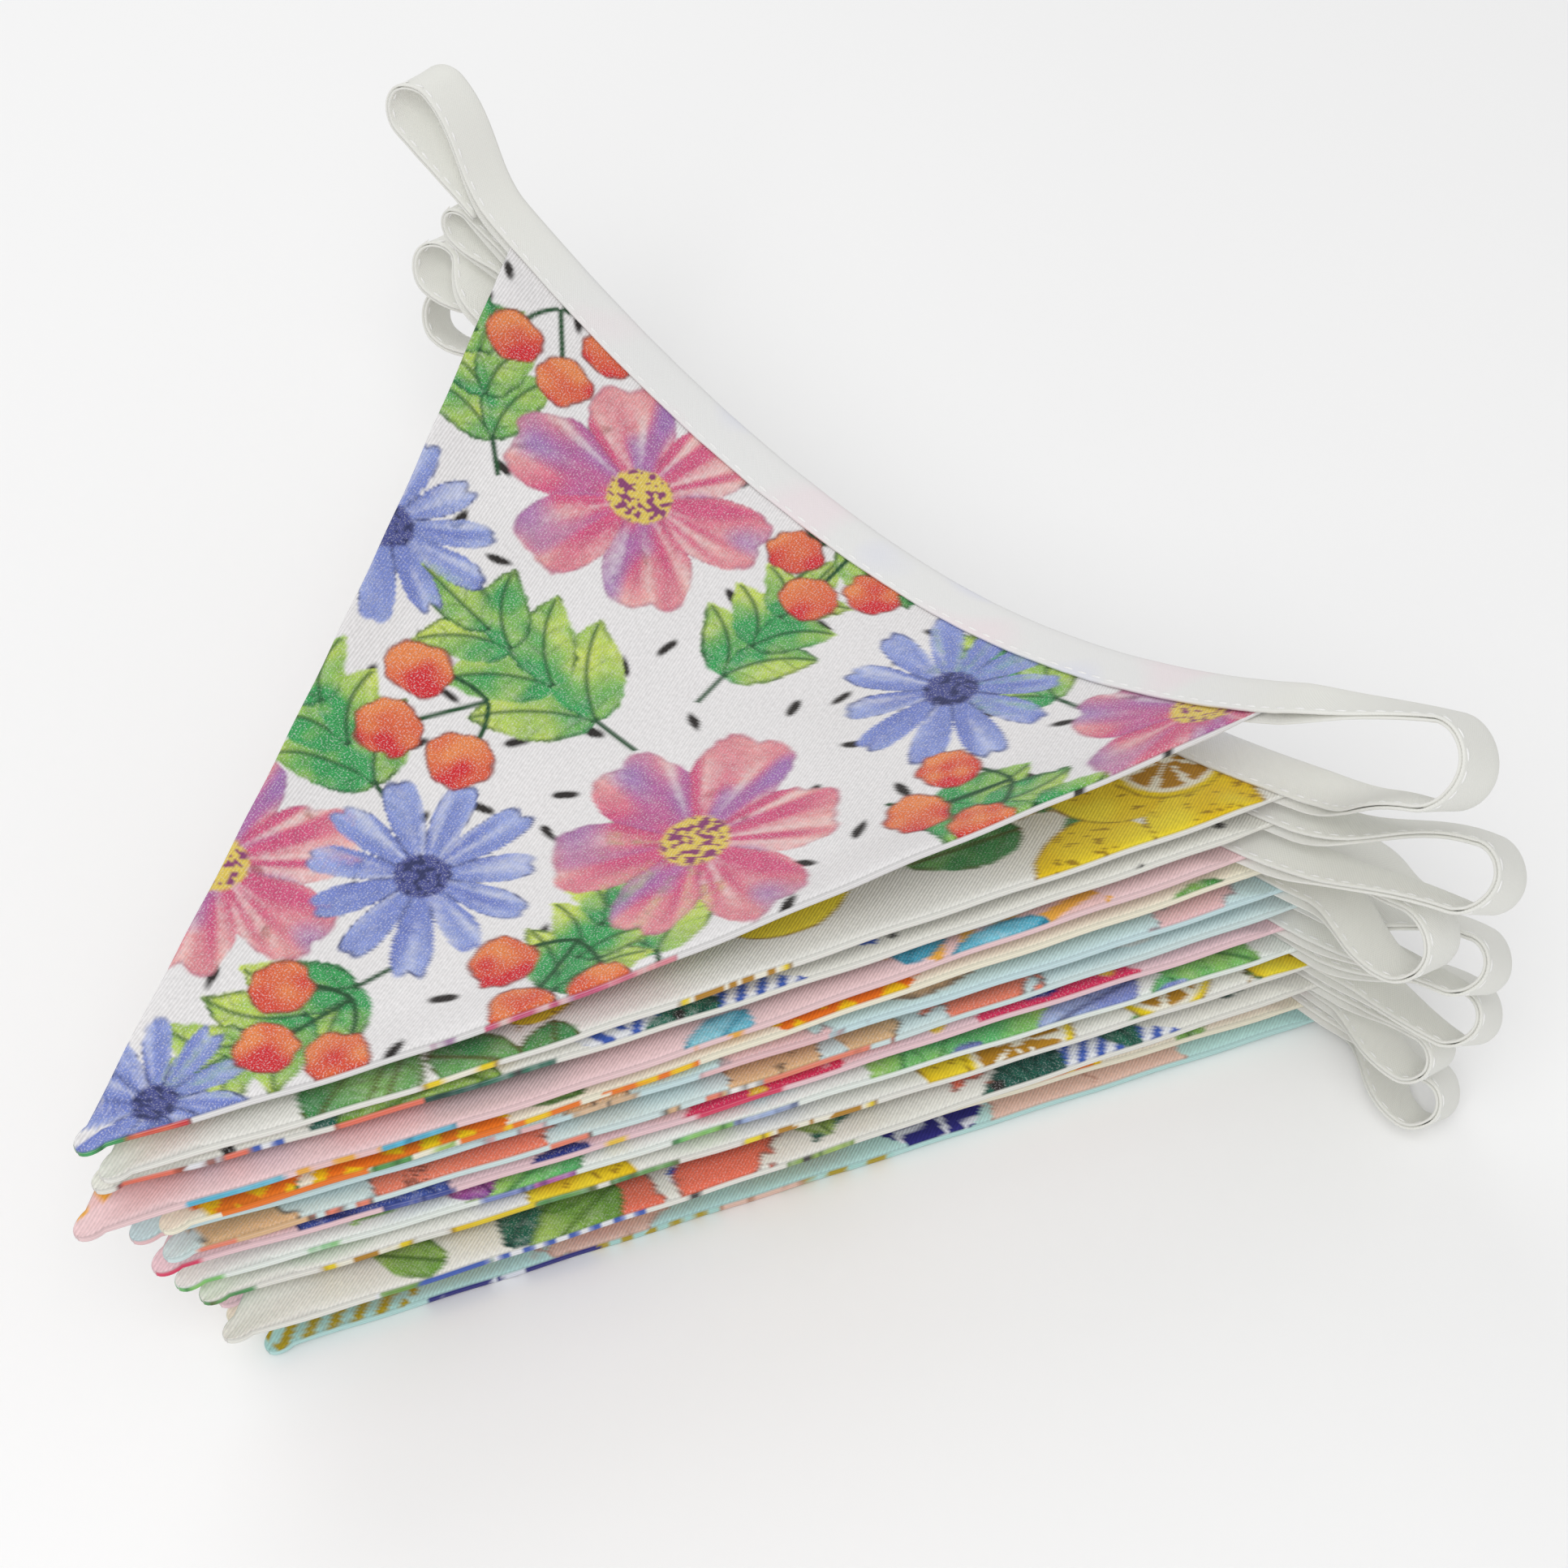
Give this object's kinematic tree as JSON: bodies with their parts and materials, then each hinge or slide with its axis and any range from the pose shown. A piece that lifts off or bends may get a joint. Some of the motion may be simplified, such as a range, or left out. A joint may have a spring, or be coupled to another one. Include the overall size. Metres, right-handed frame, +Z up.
{
  "type": "fabric bunting",
  "caption": "Printed cloth triangle flags sewn into a white folded tape, folded back and forth into a loose stack with the tape looping at both sides and a hanging loop at each end.",
  "frame": {"origin": "on the surface it lies on, under the centre of the whole stack", "axes": "+X along the flags' taped top edges, -Y towards their points, +Z up"},
  "size_m": [0.2424, 0.2022, 0.1003],
  "materials": {
    "leaf_cotton": "matt printed twill",
    "lemon_cotton": "matt printed twill",
    "garden_cotton": "matt printed twill",
    "stripe_cotton": "matt printed twill",
    "lattice_cotton": "matt printed twill",
    "sky_cotton": "matt printed twill",
    "coral_cotton": "matt printed twill",
    "berry_cotton": "matt printed twill",
    "mint_cotton": "matt printed twill",
    "aqua_cotton": "matt printed twill",
    "white_tape": "matt plain weave"
  },
  "bodies": {
    "root": {"flag_01": "leaf_cotton", "flag_02": "lemon_cotton", "flag_03": "garden_cotton", "flag_04": "stripe_cotton", "flag_05": "lattice_cotton", "flag_06": "sky_cotton", "flag_07": "coral_cotton", "flag_08": "berry_cotton", "flag_09": "mint_cotton", "flag_10": "lemon_cotton", "flag_11": "garden_cotton", "flag_12": "berry_cotton", "flag_13": "lattice_cotton", "flag_14": "aqua_cotton", "tape": "white_tape"}
  },
  "joints": []
}
